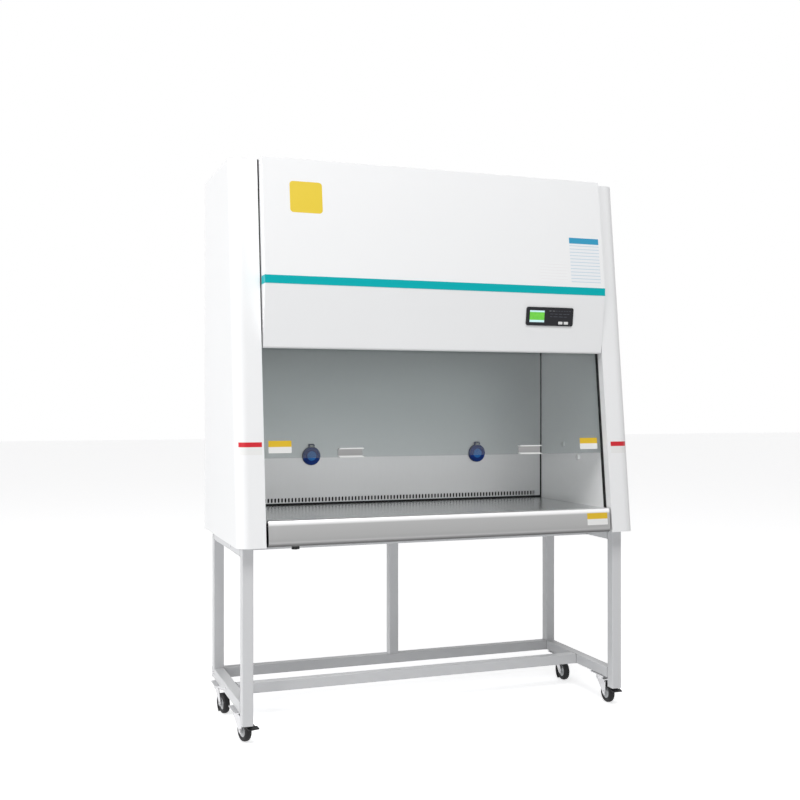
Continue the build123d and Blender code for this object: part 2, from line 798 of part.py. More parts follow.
with BuildPart() as front_panel:
    with BuildSketch(Plane.YZ.offset(-panel_half)) as panel_outer:
        panel_section()
        fillet(panel_outer.vertices().sort_by_distance(panel_toe)[0], radius=panel_foot_radius)
        fillet(panel_outer.vertices().sort_by_distance(panel_brow)[0], radius=panel_bend_radius)
    extrude(amount=2 * panel_half)
    with BuildSketch(Plane.YZ.offset(-panel_half + sheet)) as panel_inner:
        panel_section()
        fillet(panel_inner.vertices().sort_by_distance(panel_toe)[0], radius=panel_foot_radius)
        fillet(panel_inner.vertices().sort_by_distance(panel_brow)[0], radius=panel_bend_radius)
        offset(amount=-sheet, mode=Mode.REPLACE)
        mouth = 2 * sheet
        Polygon((hinge_y + mouth, overall_height - sheet), (hinge_y - mouth, overall_height - sheet),
                (panel_foot[0] - mouth, panel_bottom + sheet), (panel_foot[0] + mouth, panel_bottom + sheet),
                align=None)
    extrude(amount=2 * (panel_half - sheet), mode=Mode.SUBTRACT)
save(front_panel, "front_panel")

with BuildPart() as accent_stripe:
    with BuildSketch(Plane.XY.offset(ridge_bottom)):
        stripe_back = slope_y(ridge_bottom)
        with Locations((0, front + ridge_depth - stripe_thickness)):
            Rectangle(2 * (panel_half + stripe_thickness), stripe_back - front - ridge_depth,
                      align=(Align.CENTER, Align.MIN))
        with Locations((0, front + ridge_depth)):
            Rectangle(2 * panel_half, 2 * overall_depth, align=(Align.CENTER, Align.MIN), mode=Mode.SUBTRACT)
    extrude(amount=ridge_height)
save(accent_stripe, "accent_stripe")

face_drop = Vector(0, panel_toe[0] - ridge_low[0], panel_toe[1] - ridge_low[1]).normalized()
face_normal = Vector(0, face_drop.Z, -face_drop.Y)
display_x = panel_half - display_inset
display_origin = Vector(display_x, ridge_low[0], ridge_low[1]) + face_drop * display_drop
display_plane = Plane(origin=display_origin, x_dir=(1, 0, 0), z_dir=face_normal)
screen_seat = display_thickness - screen_thickness
with BuildPart() as display_bezel:
    with BuildSketch(display_plane):
        RectangleRounded(display_width, display_height, display_corner)
    extrude(amount=display_thickness)
    with BuildSketch(display_plane.offset(screen_seat)):
        with Locations((screen_x, 0)):
            Rectangle(screen_width, screen_height)
    extrude(amount=display_thickness, mode=Mode.SUBTRACT)
    with BuildSketch(display_plane):
        with Locations(*[(x, button_drop) for x in button_x]):
            Rectangle(button_width + 2 * fit_gap, button_height + 2 * fit_gap)
    extrude(amount=display_thickness, mode=Mode.SUBTRACT)
save(display_bezel, "display_bezel")

with BuildPart() as display_screen:
    with BuildSketch(display_plane.offset(screen_seat)):
        with Locations((screen_x, 0)):
            Rectangle(screen_width, screen_height)
    extrude(amount=screen_thickness)
save(display_screen, "display_screen")

button_seat = display_plane.offset(button_travel + fit_gap)
button_length = display_thickness + button_proud - button_travel - fit_gap
for name, x in zip(("start_button", "light_button"), button_x):
    with BuildPart() as button:
        with BuildSketch(button_seat):
            with Locations((x, button_drop)):
                RectangleRounded(button_width, button_height, button_height / 5)
        extrude(amount=button_length)
        fillet(button.faces().sort_by(Axis(display_origin, face_normal))[-1].edges(), radius=button_proud / 4)
    save(button, name)

# ---------------------------------------------------------------- sash

sash_bottom = work_height + sash_opening
sash_top = sash_bottom + sash_length
with BuildPart() as sash_guides:
    for sign in (-1, 1):
        inner_x = sign * (chamber_half - guide_reveal)
        guide_high = overall_height - guide_top_margin
        with BuildSketch(Plane.YZ.offset(inner_x)):
            with BuildLine():
                Polyline(*slab(fascia_top, guide_high, column_return, wall_front), close=True)
            make_face()
        extrude(amount=sign * guide_width)
        with BuildSketch(Plane.YZ.offset(inner_x)):
            with BuildLine():
                Polyline(*slab(fascia_top - sheet, guide_high + sheet, sash_front - fit_gap,
                               sash_front + sash_thickness + fit_gap), close=True)
            make_face()
        extrude(amount=sign * (glass_edge_cover + fit_gap), mode=Mode.SUBTRACT)
save(sash_guides, "sash_guides")

glass_half = chamber_half - guide_reveal + glass_edge_cover
with BuildPart() as sash_glass:
    with BuildSketch(Plane.YZ.offset(-glass_half)):
        with BuildLine():
            Polyline(*slab(sash_bottom, sash_top, sash_front, sash_front + sash_thickness), close=True)
        make_face()
    extrude(amount=2 * glass_half)
save(sash_glass, "sash_glass")

with BuildPart() as sash_handles:
    for sign in (-1, 1):
        handle_low = sash_bottom
        handle_high = sash_bottom + handle_height
        with BuildSketch(Plane.YZ.offset(sign * handle_spacing / 2 - handle_width / 2)):
            with BuildLine():
                Polyline(*slab(handle_low, handle_high, sash_front - handle_reach, sash_front), close=True)
            make_face()
        extrude(amount=handle_width)
        with BuildSketch(Plane.YZ.offset(sign * handle_spacing / 2 - handle_width / 2)):
            with BuildLine():
                Polyline(*slab(handle_low + handle_wall, handle_high - handle_wall,
                               sash_front - 2 * handle_reach, sash_front - handle_wall), close=True)
            make_face()
        extrude(amount=handle_width, mode=Mode.SUBTRACT)
save(sash_handles, "sash_handles")

with BuildPart() as counterweights:
    for sign in (-1, 1):
        outer_x = sign * (side - sheet - fit_gap)
        with BuildSketch(Plane(origin=(outer_x, front + counterweight_setback, counterweight_bottom))):
            Rectangle(counterweight_width, counterweight_depth,
                      align=(Align.MAX if sign > 0 else Align.MIN, Align.CENTER))
        extrude(amount=counterweight_height)
save(counterweights, "counterweights")

# ---------------------------------------------------------------- chamber fittings

lamp_y = slope_y(diffuser_bottom) + lamp_setback
lamp_z = diffuser_bottom - lamp_drop
lamp_length = chamber_width - 2 * lamp_end_gap
lamp_half = lamp_length / 2
with BuildPart() as lamp_tube:
    with BuildSketch(Plane.YZ.offset(-lamp_half)):
        with Locations((lamp_y, lamp_z)):
            Circle(lamp_radius)
    extrude(amount=lamp_length)
save(lamp_tube, "lamp_tube")

with BuildPart() as lamp_holders:
    for sign in (-1, 1):
        with BuildSketch(Plane.YZ.offset(sign * lamp_half)):
            with Locations((lamp_y, diffuser_bottom)):
                Rectangle(holder_depth, holder_height, align=(Align.CENTER, Align.MAX))
        extrude(amount=sign * (chamber_half - lamp_half))
save(lamp_holders, "lamp_holders")

with BuildPart() as socket_bodies:
    for x in (-socket_x, socket_x):
        with BuildSketch(facing_user(baffle_y)):
            with Locations((x, socket_height)):
                Circle(socket_radius)
            with Locations((x, socket_height + hinge_rise)):
                Rectangle(hinge_barrel_length + 2 * (ear_width + fit_gap), 4 * hinge_barrel_radius)
        extrude(amount=socket_flange)
        with BuildSketch(facing_user(baffle_y)):
            with Locations((x, socket_height)):
                Circle(socket_body_radius)
        extrude(amount=-socket_body_length)
        with BuildSketch(facing_user(baffle_y - socket_flange)):
            with Locations((x, socket_height)):
                Circle(socket_bore_radius)
        extrude(amount=-socket_body_length, mode=Mode.SUBTRACT)
        ear_x = hinge_barrel_length / 2 + fit_gap + ear_width / 2
        with BuildSketch(facing_user(baffle_y - socket_flange)):
            with Locations((x - ear_x, socket_height + hinge_rise), (x + ear_x, socket_height + hinge_rise)):
                Rectangle(ear_width, 2 * hinge_barrel_radius)
        extrude(amount=2 * hinge_barrel_radius + fit_gap)
        pin_y = baffle_y - socket_flange - fit_gap - hinge_barrel_radius
        with BuildSketch(Plane.YZ.offset(x - socket_radius)):
            with Locations((pin_y, socket_height + hinge_rise)):
                Circle(hinge_pin_radius + running_fit)
        extrude(amount=2 * socket_radius, mode=Mode.SUBTRACT)
save(socket_bodies, "socket_bodies")

for name, x in (("socket_lid_left", -socket_x), ("socket_lid_right", socket_x)):
    with BuildPart() as lid:
        lid_back = facing_user(baffle_y - socket_flange - fit_gap)
        with BuildSketch(lid_back):
            with Locations((x, socket_height)):
                Circle(lid_radius)
            with Locations((x, socket_height + hinge_rise)):
                Rectangle(hinge_barrel_length, hinge_rise, align=(Align.CENTER, Align.MAX))
        extrude(amount=lid_thickness)
        with BuildSketch(lid_back.offset(lid_thickness)):
            with Locations((x, socket_height)):
                Circle(lid_boss_radius)
        extrude(amount=lid_boss_height)
        with BuildSketch(Plane.YZ.offset(x - hinge_barrel_length / 2)):
            with Locations((pin_y, socket_height + hinge_rise)):
                Circle(hinge_barrel_radius)
        extrude(amount=hinge_barrel_length)
        pin_half = hinge_barrel_length / 2 + fit_gap + ear_width
        with BuildSketch(Plane.YZ.offset(x - pin_half)):
            with Locations((pin_y, socket_height + hinge_rise)):
                Circle(hinge_pin_radius)
        extrude(amount=2 * pin_half)
    save(lid, name)

with BuildPart() as port_plugs:
    with BuildSketch(Plane.YZ.offset(chamber_half)):
        with Locations(*[(front + depth, height) for depth, height in plug_places]):
            Circle(plug_radius)
    extrude(amount=-plug_proud)
    fillet(port_plugs.faces().filter_by(Axis.X).group_by(Axis.X)[0].edges(), radius=plug_proud / 4)
save(port_plugs, "port_plugs")

knob_top = base_height - drain_stem_drop
with BuildPart() as drain_valve:
    drain_plane = Plane(origin=(drain_x, front + drain_depth, knob_top))
    with BuildSketch(drain_plane):
        Circle(drain_knob_radius)
        Rectangle(3 * drain_knob_radius, drain_stem_radius)
    extrude(amount=-drain_knob_height)
    with BuildSketch(drain_plane):
        Circle(drain_stem_radius)
    extrude(amount=drain_stem_drop + sheet + fit_gap)
    with BuildSketch(drain_plane.offset(drain_stem_drop + sheet + fit_gap)):
        Circle(drain_knob_radius)
    extrude(amount=sheet)
save(drain_valve, "drain_valve")
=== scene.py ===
import math

import bmesh
import bpy
from mathutils import Matrix, Vector


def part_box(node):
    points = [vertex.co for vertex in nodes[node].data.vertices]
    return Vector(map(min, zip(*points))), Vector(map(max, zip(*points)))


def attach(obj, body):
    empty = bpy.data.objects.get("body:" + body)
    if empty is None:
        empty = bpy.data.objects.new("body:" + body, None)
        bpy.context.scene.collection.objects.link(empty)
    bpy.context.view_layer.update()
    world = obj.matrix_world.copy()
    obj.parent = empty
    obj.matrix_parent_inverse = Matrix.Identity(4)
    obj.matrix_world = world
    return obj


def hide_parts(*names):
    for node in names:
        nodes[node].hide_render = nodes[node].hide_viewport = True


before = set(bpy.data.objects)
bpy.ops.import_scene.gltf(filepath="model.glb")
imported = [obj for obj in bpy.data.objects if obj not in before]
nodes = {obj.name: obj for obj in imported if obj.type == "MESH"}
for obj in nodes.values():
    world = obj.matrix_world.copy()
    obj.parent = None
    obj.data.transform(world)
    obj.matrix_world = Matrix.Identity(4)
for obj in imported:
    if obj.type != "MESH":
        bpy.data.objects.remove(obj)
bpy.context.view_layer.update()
mm = 0.001

# The casing's own lines, which the stickers and the display are set out from (millimetres)
casing = {
    "front": -320.0,
    "baseHeight": 668.0,
    "topHeight": 1986.0,
    "setback": 150.0,
    "glassDepth": 36.5,
    "panelTopY": -223.0,
    "panelNoseY": -275.0,
    "panelFootY": -245.0,
    "bandTop": 1578.0,
    "bandFoot": 1550.0,
    "panelFoot": 1334.0,
}


def slopeY(height):
    share = (height - casing["baseHeight"]) / (casing["topHeight"] - casing["baseHeight"])
    return casing["front"] + casing["setback"] * share


def glassY(height):
    return slopeY(height) + casing["glassDepth"]


def panelY(height):
    share = (height - casing["bandTop"]) / (casing["topHeight"] - casing["bandTop"])
    return casing["panelNoseY"] + (casing["panelTopY"] - casing["panelNoseY"]) * share


# ---- materials

class Wire:
    # a socket that takes Python arithmetic
    def __init__(self, finish, socket):
        self.finish = finish
        self.socket = socket

    def __add__(self, other):
        return self.finish.maths("ADD", self, other)

    def __radd__(self, other):
        return self.finish.maths("ADD", other, self)

    def __sub__(self, other):
        return self.finish.maths("SUBTRACT", self, other)

    def __rsub__(self, other):
        return self.finish.maths("SUBTRACT", other, self)

    def __mul__(self, other):
        return self.finish.maths("MULTIPLY", self, other)

    def __rmul__(self, other):
        return self.finish.maths("MULTIPLY", other, self)

    def __truediv__(self, other):
        return self.finish.maths("DIVIDE", self, other)

    def above(self, level, softness):
        # 0 below the level and 1 above it, over a soft step
        return self.finish.node("ShaderNodeMapRange", {"interpolation_type": "SMOOTHSTEP"}, {
            "Value": self, "From Min": level - softness, "From Max": level + softness})

    def ramp(self, *stops):
        return self.finish.node("ShaderNodeValToRGB", {"stops": stops}, {"Fac": self})


class Finish:
    # a Principled material built up from nodes
    def __init__(self, name, **constants):
        self.material = bpy.data.materials.new(name)
        self.material.use_nodes = True
        self.tree = self.material.node_tree
        self.tree.nodes.clear()
        self.output = self.tree.nodes.new("ShaderNodeOutputMaterial")
        self.shader = self.tree.nodes.new("ShaderNodeBsdfPrincipled")
        self.tree.links.new(self.shader.outputs[0], self.output.inputs["Surface"])
        for socketName, value in constants.items():
            self.put(socketName.replace("_", " "), value)

    def put(self, socketName, value):
        self.fill(self.shader.inputs[socketName], value)

    def fill(self, socket, value):
        if isinstance(value, Wire):
            self.tree.links.new(value.socket, socket)
        elif hasattr(value, "__len__") and len(value) == 3 and socket.type == "RGBA":
            socket.default_value = (*value, 1.0)
        else:
            socket.default_value = value

    def node(self, kind, settings=None, inputs=None, output=0):
        made = self.tree.nodes.new(kind)
        for key, value in (settings or {}).items():
            if key == "stops":
                stops = made.color_ramp.elements
                while len(stops) < len(value):
                    stops.new(1.0)
                for stop, (place, colour) in zip(stops, value):
                    stop.position = place
                    stop.color = (*colour, 1.0)
            else:
                setattr(made, key, value)
        for key, value in (inputs or {}).items():
            self.fill(made.inputs[key], value)
        return Wire(self, made.outputs[output])

    def maths(self, operation, *values):
        return self.node("ShaderNodeMath", {"operation": operation}, dict(enumerate(values)))

    def place(self):
        return self.node("ShaderNodeTexCoord", output=3)

    def noise(self, scale, detail=2.0, roughness=0.5, stretch=(1, 1, 1)):
        place = self.node("ShaderNodeMapping", {"vector_type": "POINT"}, {
            "Vector": self.place(), "Scale": stretch})
        return self.node("ShaderNodeTexNoise", {}, {
            "Vector": place, "Scale": scale, "Detail": detail, "Roughness": roughness})

    def axis(self, index):
        return self.node("ShaderNodeSeparateXYZ", {}, {"Vector": self.place()}, index)

    def mix(self, factor, first, second):
        return self.node("ShaderNodeMix", {"data_type": "RGBA"}, {0: factor, 6: first, 7: second}, 2)

    def bump(self, height, strength, distance):
        self.put("Normal", self.node("ShaderNodeBump", {}, {
            "Strength": strength, "Distance": distance, "Height": height}))


def powderCoat(name, colour, roughness=0.42, peel=0.05, gloss=0.4):
    coat = Finish(name, Specular_IOR_Level=gloss)
    drift = coat.noise(2.2, 3.0)
    shade = [channel * 0.972 for channel in colour]
    coat.put("Base Color", coat.mix(drift, colour, shade))
    coat.put("Roughness", roughness - 0.04 + 0.08 * coat.noise(35.0, 3.0))
    coat.bump(coat.noise(420.0, 2.0), peel, 0.0006)
    return coat.material


def brushedSteel(name, along, colour=(0.60, 0.60, 0.60), roughness=0.30, depth=0.12, metallic=1.0):
    # "along" is the index of the axis that the brush ran along
    steel = Finish(name, Metallic=metallic)
    stretch = [1.0, 1.0, 1.0]
    stretch[along] = 0.012
    grain = steel.noise(900.0, 4.0, 0.6, stretch)
    cloud = steel.noise(3.0, 3.0)
    dark = [channel * 0.90 for channel in colour]
    light = [min(1.0, channel * 1.06) for channel in colour]
    steel.put("Base Color", steel.mix(grain * 0.6 + cloud * 0.4, dark, light))
    steel.put("Roughness", roughness - 0.06 + 0.10 * grain + 0.04 * cloud)
    steel.bump(grain, depth, 0.0002)
    return steel.material


def plastic(name, colour, roughness=0.45, grain=0.04):
    resin = Finish(name, Specular_IOR_Level=0.3)
    resin.put("Base Color", resin.mix(resin.noise(60.0, 3.0), colour, [c * 0.93 for c in colour]))
    resin.put("Roughness", roughness - 0.05 + 0.1 * resin.noise(25.0, 2.0))
    resin.bump(resin.noise(900.0, 2.0), grain, 0.0003)
    return resin.material


def clearGlass(name, colour):
    return Finish(name, Base_Color=colour, Roughness=0.0, IOR=1.45, Transmission_Weight=1.0).material


def pleatedPaper(name):
    paper = Finish(name, Roughness=0.9)
    foldAndShade = paper.node("ShaderNodeTexWave", {"wave_type": "BANDS", "bands_direction": "X"}, {
        "Vector": paper.place(), "Scale": 55.0, "Distortion": 0.4})
    # the paper is darker on one side of each pleat: painted shade in the folds, on the same bands as the bump
    paper.put("Base Color", paper.mix(foldAndShade, (0.62, 0.62, 0.58), (0.86, 0.86, 0.82)))
    paper.bump(foldAndShade, 0.7, 0.002)
    return paper.material


def galvanised(name):
    zinc = Finish(name, Metallic=1.0)
    spangle = zinc.node("ShaderNodeTexVoronoi", {"feature": "F1"}, {
        "Vector": zinc.place(), "Scale": 90.0}, 1)
    level = zinc.node("ShaderNodeSeparateColor", {}, {"Color": spangle})
    zinc.put("Base Color", level.ramp((0.0, (0.42, 0.44, 0.45)), (1.0, (0.60, 0.62, 0.63))))
    zinc.put("Roughness", 0.36 + 0.16 * level)
    return zinc.material


casingWhite = (0.86, 0.865, 0.87)
casingPaint = powderCoat("casingPaint", casingWhite)
accentPaint = powderCoat("accentPaint", (0.003, 0.42, 0.45), 0.40, 0.03, 0.12)
standPaint = powderCoat("standPaint", (0.63, 0.635, 0.645), 0.40, 0.06)
motorPaint = powderCoat("motorPaint", (0.03, 0.03, 0.034), 0.5, 0.08)
steelUpright = brushedSteel("steelUpright", 2, (0.66, 0.665, 0.67), 0.42, 0.12, 0.85)
steelAcross = brushedSteel("steelAcross", 0, (0.74, 0.745, 0.745), 0.24)
# the chamber's side walls: the same stainless steel made near white and mostly non-metallic, as painted light
# that brightens the walls inside the chamber
steelSideLit = brushedSteel("steelSideLit", 2, (0.94, 0.945, 0.95), 0.50, 0.12, 0.12)
zincPlate = brushedSteel("zincPlate", 2, (0.63, 0.63, 0.64), 0.28, 0.05)
sashGlass = clearGlass("sashGlass", (0.66, 0.70, 0.70))
blackSeal = plastic("blackSeal", (0.012, 0.012, 0.013), 0.6)
blackGloss = plastic("blackGloss", (0.012, 0.012, 0.016), 0.18, 0.01)
whitePlastic = plastic("whitePlastic", (0.80, 0.80, 0.80), 0.4)
darkBlue = plastic("darkBlue", (0.008, 0.028, 0.14), 0.38)
blackPlastic = plastic("blackPlastic", (0.018, 0.018, 0.02), 0.5)
tyreRubber = plastic("tyreRubber", (0.012, 0.012, 0.012), 0.62, 0.08)
castIron = plastic("castIron", (0.05, 0.05, 0.05), 0.7, 0.3)
filterPaper = pleatedPaper("filterPaper")
zincSheet = galvanised("zincSheet")
lampGlass = Finish("lampGlass", Base_Color=(0.86, 0.88, 0.90), Roughness=0.25).material


def steelWithPaintedLight(name, stops, roughness):
    # brushed along X, with painted highlights and painted shade set by height: the stops are (height, tone)
    steel = Finish(name, Metallic=1.0)
    low, high = stops[0][0], stops[-1][0]
    share = (steel.axis(2) - low * mm) / ((high - low) * mm)
    grain = steel.noise(900.0, 4.0, 0.6, (0.012, 1.0, 1.0))
    paintedLightStops = [((height - low) / (high - low), (tone, tone, tone)) for height, tone in stops]
    shade = share.ramp(*paintedLightStops)
    steel.put("Base Color", steel.mix(0.12 * grain, shade, (0.5, 0.5, 0.5)))
    steel.put("Roughness", roughness - 0.05 + 0.10 * grain)
    steel.bump(grain, 0.12, 0.0002)
    return steel.material


# sash handles: both lips painted bright as painted highlights over a darker web
handleAluminiumHighlights = steelWithPaintedLight("handleAluminiumHighlights", (
    (965, 0.74), (967, 0.30), (988, 0.34), (990, 0.82), (1002, 0.84)), 0.30)
# front fascia: the lower roll is painted near black and the top roll near white, as painted reflections, dark
# below and bright above
fasciaSteelReflections = steelWithPaintedLight("fasciaSteelReflections", (
    (667, 0.05), (674, 0.10), (684, 0.34), (700, 0.38), (738, 0.42), (746, 0.90), (754, 0.95)), 0.34)


def paintAndDuctShade(name, axis, level, ductShade):
    # the casing's paint above a level, and below it a near-black colour as painted shade inside the duct
    # behind the baffle
    coat = Finish(name)
    outside = coat.axis(axis).above(level, 0.0001)
    coat.put("Base Color", coat.mix(outside, ductShade, casingWhite))
    coat.put("Roughness", 0.75 - 0.33 * outside)
    coat.bump(coat.noise(420.0, 2.0), 0.05, 0.0006)
    return coat.material


# the back panel's inner face, seen through the baffle's slots, is painted near black as painted shade in the
# unlit duct
backPaint = paintAndDuctShade("backPaint", 1, 0.3191, (0.02, 0.021, 0.022))

cadFinishes = {
    casingPaint: ("left_side_panel", "right_side_panel", "front_panel", "top_panel"),
    backPaint: ("back_panel",),
    accentPaint: ("accent_stripe",),
    steelUpright: ("chamber_back_wall",),
    steelSideLit: ("chamber_left_wall", "chamber_right_wall"),
    steelAcross: ("work_surface", "intake_grille", "air_diffuser"),
    fasciaSteelReflections: ("front_fascia",),
    zincSheet: ("base_pan", "supply_plenum", "blower_housing", "blower_wheel", "exhaust_guard"),
    filterPaper: ("supply_filter", "exhaust_filter"),
    motorPaint: ("blower_motor",),
    castIron: ("counterweights",),
    sashGlass: ("sash_glass",),
    handleAluminiumHighlights: ("sash_handles",),
    blackSeal: ("sash_guides",),
    blackGloss: ("display_bezel",),
    whitePlastic: ("start_button", "light_button", "port_plugs", "lamp_holders"),
    lampGlass: ("lamp_tube",),
    darkBlue: ("socket_bodies",),
    blackPlastic: ("drain_valve", "brake_pedal_front_left", "brake_pedal_front_right"),
    zincPlate: ("caster_plates", "fork_front_left", "fork_front_right", "fork_rear_left", "fork_rear_right"),
    tyreRubber: ("wheel_front_left", "wheel_front_right", "wheel_rear_left", "wheel_rear_right"),
}


def dressNode(name, material):
    slots = nodes[name].data.materials
    slots.clear()
    slots.append(material)


for material, names in cadFinishes.items():
    for name in names:
        dressNode(name, material)
for name in nodes:
    if name.startswith(("leg_", "lower_rail", "upper_rail", "rear_post")):
        dressNode(name, standPaint)
print("finishes on the solids:", len(nodes))


# ---- modelling helpers

def deselect():
    bpy.ops.object.select_all(action="DESELECT")


def pick(piece, level, test):
    # into edit mode, with the faces, edges or points for which the test holds selected
    bpy.ops.object.mode_set(mode="EDIT")
    bpy.ops.mesh.select_mode(type=level)
    bpy.ops.mesh.select_all(action="DESELECT")
    shape = bmesh.from_edit_mesh(piece.data)
    for part in {"FACE": shape.faces, "EDGE": shape.edges, "VERT": shape.verts}[level]:
        if test(part):
            part.select_set(True)
    bmesh.update_edit_mesh(piece.data)


def leaveEdit():
    bpy.ops.object.mode_set(mode="OBJECT")


def named(piece, name, material, body):
    piece.name = name
    piece.data.name = name
    piece.data.materials.clear()
    piece.data.materials.append(material)
    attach(piece, body)
    return piece


def settle(piece, placement=None):
    # puts the place into the mesh, so that the object sits at the origin
    if placement is not None:
        piece.matrix_world = placement @ piece.matrix_world
        bpy.context.view_layer.update()
    deselect()
    piece.select_set(True)
    bpy.context.view_layer.objects.active = piece
    bpy.ops.object.transform_apply(location=True, rotation=True, scale=True)


def plate(width, height, thickness, corner, steps=5):
    # a thin rounded plate that lies on the XY plane and rises along Z
    deselect()
    bpy.ops.mesh.primitive_cube_add(size=1, location=(0, 0, thickness / 2))
    piece = bpy.context.active_object
    piece.scale = (width, height, thickness)
    settle(piece)
    pick(piece, "EDGE", lambda edge: abs(edge.verts[0].co.z - edge.verts[1].co.z) > thickness / 2)
    bpy.ops.mesh.bevel(offset=corner, segments=steps)
    leaveEdit()
    return piece


def onSurface(origin, acrossDirection, normal):
    # a placement whose X runs across and whose Z is the surface's normal
    across = Vector(acrossDirection).normalized()
    outward = Vector(normal).normalized()
    up = outward.cross(across)
    turn = Matrix((across, up, outward)).transposed().to_4x4()
    return Matrix.Translation(Vector(origin)) @ turn


def atMillimetres(x, y, z):
    return Vector((x * mm, y * mm, z * mm))


# ---- stickers

def twoTone(name, lower, upper, split, roughness=0.32):
    # one colour above a height and another below it
    paper = Finish(name, Roughness=roughness)
    paper.put("Base Color", paper.mix(paper.axis(2).above(split * mm, 0.0002), lower, upper))
    paper.bump(paper.noise(300.0, 2.0), 0.02, 0.0003)
    return paper.material


def ruledSheet(name, paperColour, headColour, lineColour, split, pitch, lineShare):
    # a header band over blank ruled lines
    sheet = Finish(name, Roughness=0.35)
    height = sheet.axis(2)
    rows = sheet.maths("FRACT", height / (pitch * mm))
    ruled = sheet.mix(rows.above(1.0 - lineShare, 0.02), paperColour, lineColour)
    sheet.put("Base Color", sheet.mix(height.above(split * mm, 0.0002), ruled, headColour))
    return sheet.material


amber = (0.76, 0.56, 0.03)
yellow = (0.72, 0.47, 0.012)
paperWhite = (0.80, 0.80, 0.79)
sheetWhite = (0.855, 0.86, 0.865)
sheetThickness = 0.1 * mm
slopeNormal = Vector((0, casing["baseHeight"] - casing["topHeight"], casing["setback"]))
panelNormal = Vector((0, casing["bandTop"] - casing["topHeight"], casing["panelTopY"] - casing["panelNoseY"]))

# what a sticker lies on: the face's Y at a height, its normal and the body that carries it
stickerFaces = {
    "panel": (panelY, panelNormal, "front_panel"),
    "glass": (glassY, slopeNormal, "sash"),
    "fascia": (slopeY, slopeNormal, "cabinet"),
}

flatStickers = {
    "panelSticker": {
        "x": (-556, -441), "z": (1797, 1906), "corner": 12, "material": twoTone(
            "panelStickerPaper", amber, amber, 1800), "on": "panel"},
    "logSheet": {
        "x": (509, 633), "z": (1597, 1765), "corner": 1.5, "material": ruledSheet(
            "logSheetPaper", (0.82, 0.84, 0.86), (0.02, 0.30, 0.50), (0.55, 0.66, 0.74), 1743, 12.4, 0.22),
        "on": "panel"},
    "ratingSheet": {
        "x": (382, 494), "z": (1597, 1667), "corner": 1.5, "material": ruledSheet(
            "ratingSheetPaper", sheetWhite, sheetWhite, (0.80, 0.78, 0.79), 1664, 11.0, 0.12),
        "on": "panel"},
    "glassStickerLeft": {
        "x": (-631, -551), "z": (978, 1020), "corner": 2, "material": twoTone(
            "glassStickerPaperLeft", paperWhite, yellow, 999), "on": "glass"},
    "glassStickerRight": {
        "x": (558, 632), "z": (975, 1017), "corner": 2, "material": twoTone(
            "glassStickerPaperRight", paperWhite, yellow, 996), "on": "glass"},
    "fasciaSticker": {
        "x": (551, 636), "z": (697, 741), "corner": 2, "material": twoTone(
            "fasciaStickerPaper", paperWhite, yellow, 719), "on": "fascia"},
}

for name, facts in flatStickers.items():
    x = sum(facts["x"]) / 2
    z = sum(facts["z"]) / 2
    faceY, normal, body = stickerFaces[facts["on"]]
    lean = normal.normalized().y
    width = (facts["x"][1] - facts["x"][0]) * mm
    height = (facts["z"][1] - facts["z"][0]) * mm / abs(lean)
    sticker = plate(width, height, sheetThickness, facts["corner"] * mm)
    settle(sticker, onSurface(atMillimetres(x, faceY(z), z), (1, 0, 0), normal))
    named(sticker, name, facts["material"], body)

columnStickers = {
    "columnStickerLeft": {"x": (-738, -661), "z": (975, 1017), "split": 1001, "wall": "left_side_panel"},
    "columnStickerRight": {"x": (668, 737), "z": (960, 1003), "split": 986, "wall": "right_side_panel"},
}
red = (0.60, 0.006, 0.018)

for name, facts in columnStickers.items():
    # a flat grid pressed on to the rounded corner of the casing, then given its thickness
    deselect()
    bpy.ops.mesh.primitive_grid_add(x_subdivisions=40, y_subdivisions=8, size=1)
    sticker = bpy.context.active_object
    centreX = sum(facts["x"]) / 2 * mm
    centreZ = sum(facts["z"]) / 2 * mm
    sticker.scale = ((facts["x"][1] - facts["x"][0]) * mm, (facts["z"][1] - facts["z"][0]) * mm, 1)
    sticker.rotation_euler = (math.radians(90), 0, 0)
    sticker.location = (centreX, -0.5, centreZ)
    settle(sticker)
    wrap = sticker.modifiers.new("press", "SHRINKWRAP")
    wrap.target = nodes[facts["wall"]]
    wrap.wrap_method = "PROJECT"
    wrap.use_project_y = True
    wrap.use_positive_direction = True
    wrap.use_negative_direction = True
    wrap.offset = 0.02 * mm
    bpy.ops.object.modifier_apply(modifier=wrap.name)
    wall = sticker.modifiers.new("thickness", "SOLIDIFY")
    wall.thickness = sheetThickness
    wall.offset = 1.0
    bpy.ops.object.modifier_apply(modifier=wall.name)
    bpy.ops.object.shade_smooth_by_angle(angle=math.radians(40))
    named(sticker, name, twoTone(name + "Paper", paperWhite, red, facts["split"]), "cabinet")
print("stickers placed")

# ---- black strips as painted shade in the chamber's gaps: along the tray's back edge and up the two rear corners

gapShadeStrips = {
    "baffleFoot": {"x": (-650, 650), "z": (752.6, 760.5)},
    "cornerLeft": {"x": (-650, -643), "z": (760.5, 1398)},
    "cornerRight": {"x": (643, 650), "z": (760.5, 1398)},
}
baffleY = 242.0

for name, facts in gapShadeStrips.items():
    width = (facts["x"][1] - facts["x"][0]) * mm
    height = (facts["z"][1] - facts["z"][0]) * mm
    strip = plate(width, height, 0.4 * mm, 1.0 * mm, 2)
    middle = atMillimetres(sum(facts["x"]) / 2, baffleY, sum(facts["z"]) / 2)
    settle(strip, onSurface(middle, (1, 0, 0), (0, -1, 0)))
    # each strip is black as painted shade where the gap between tray, baffle and walls falls dark
    named(strip, f"gapShadeStrip_{name}", blackSeal, "cabinet")
print("joint strips placed")

# ---- display

